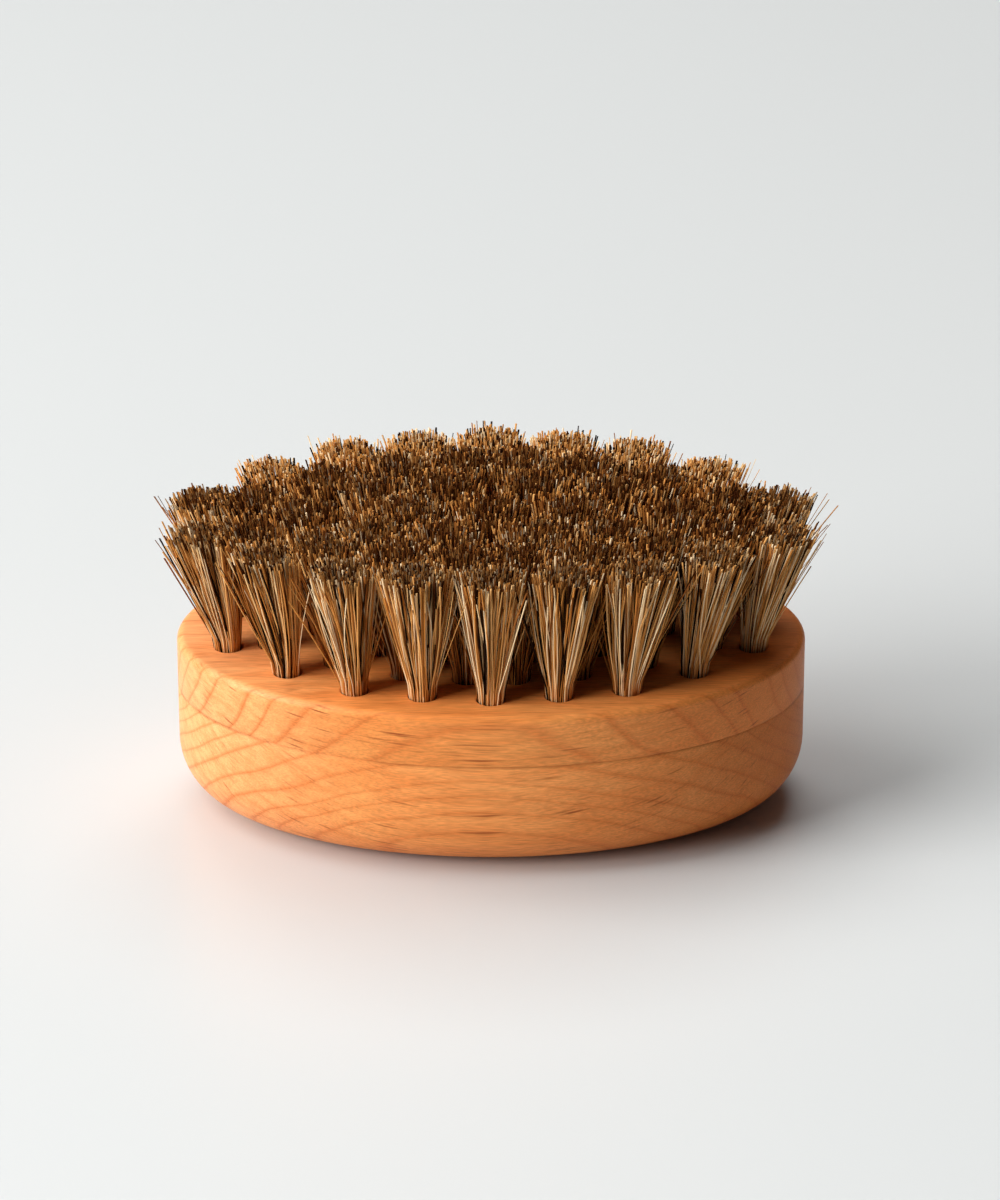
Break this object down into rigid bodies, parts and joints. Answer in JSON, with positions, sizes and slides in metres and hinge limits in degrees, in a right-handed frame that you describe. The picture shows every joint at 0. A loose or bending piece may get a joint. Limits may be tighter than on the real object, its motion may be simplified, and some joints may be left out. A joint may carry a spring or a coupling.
{
  "type": "beard brush",
  "caption": "Palm-size oval beard brush: a rounded two-piece wooden body with wire-drawn tufts of natural horsehair fanning to a flat trim.",
  "frame": {"origin": "middle of the flat of the back, where the brush rests", "axes": "+X along the length of the oval, +Z out of the bristle face towards the tips"},
  "size_m": [0.08, 0.05, 0.0398],
  "materials": {
    "block_beech": "oiled, fine sanded, satin",
    "cover_beech": "oiled, fine sanded, satin",
    "bristle": "natural horsehair, mixed straw to dark brown",
    "wire": "drawn stainless wire"
  },
  "bodies": {
    "root": {"bristle_block": "block_beech", "back_cover": "cover_beech", "outer_wire": "wire", "second_wire": "wire", "third_wire": "wire", "middle_wire": "wire", "outer_tuft_1": "bristle", "outer_tuft_2": "bristle", "outer_tuft_3": "bristle", "outer_tuft_4": "bristle", "outer_tuft_5": "bristle", "outer_tuft_6": "bristle", "outer_tuft_7": "bristle", "outer_tuft_8": "bristle", "outer_tuft_9": "bristle", "outer_tuft_10": "bristle", "outer_tuft_11": "bristle", "outer_tuft_12": "bristle", "outer_tuft_13": "bristle", "outer_tuft_14": "bristle", "outer_tuft_15": "bristle", "outer_tuft_16": "bristle", "outer_tuft_17": "bristle", "outer_tuft_18": "bristle", "second_tuft_1": "bristle", "second_tuft_2": "bristle", "second_tuft_3": "bristle", "second_tuft_4": "bristle", "second_tuft_5": "bristle", "second_tuft_6": "bristle", "second_tuft_7": "bristle", "second_tuft_8": "bristle", "second_tuft_9": "bristle", "second_tuft_10": "bristle", "second_tuft_11": "bristle", "second_tuft_12": "bristle", "second_tuft_13": "bristle", "second_tuft_14": "bristle", "second_tuft_15": "bristle", "second_tuft_16": "bristle", "third_tuft_1": "bristle", "third_tuft_2": "bristle", "third_tuft_3": "bristle", "third_tuft_4": "bristle", "third_tuft_5": "bristle", "third_tuft_6": "bristle", "third_tuft_7": "bristle", "third_tuft_8": "bristle", "third_tuft_9": "bristle", "third_tuft_10": "bristle", "middle_tuft_1": "bristle", "middle_tuft_2": "bristle", "middle_tuft_3": "bristle"}
  },
  "joints": []
}
